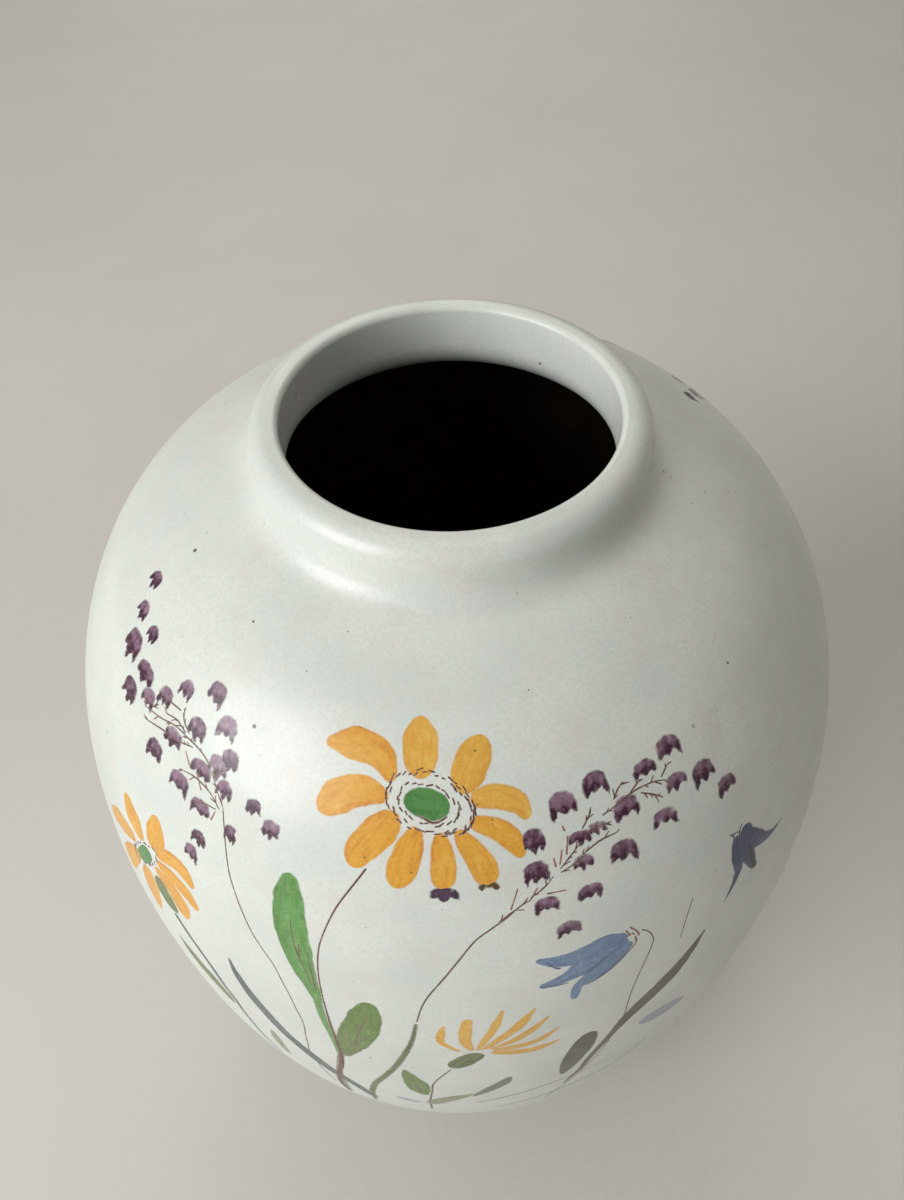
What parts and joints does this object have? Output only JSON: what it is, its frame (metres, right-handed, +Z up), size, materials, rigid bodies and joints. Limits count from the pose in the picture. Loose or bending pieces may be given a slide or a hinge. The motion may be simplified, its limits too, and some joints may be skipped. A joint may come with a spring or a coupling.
{
  "type": "flower vase",
  "caption": "Egg-shaped ceramic flower vase with a short rolled collar, narrow mouth, dark glazed inside and white glaze painted with wild flowers.",
  "frame": {"origin": "centre of the foot ring's resting face", "axes": "+Z up through the middle of the mouth; the vase is round about Z; -Y is the side with the large daisy"},
  "size_m": [0.236, 0.236, 0.305],
  "materials": {
    "foot_ring": "matte",
    "lower_bowl": "matte",
    "shoulder_dome": "matte",
    "neck_collar": "matte",
    "outer_glaze": "gloss",
    "inner_glaze": "gloss",
    "base_glaze": "gloss"
  },
  "bodies": {
    "root": {"foot_ring": "foot_ring", "lower_bowl": "lower_bowl", "shoulder_dome": "shoulder_dome", "neck_collar": "neck_collar", "outer_glaze": "outer_glaze", "inner_glaze": "inner_glaze", "base_glaze": "base_glaze"}
  },
  "joints": []
}
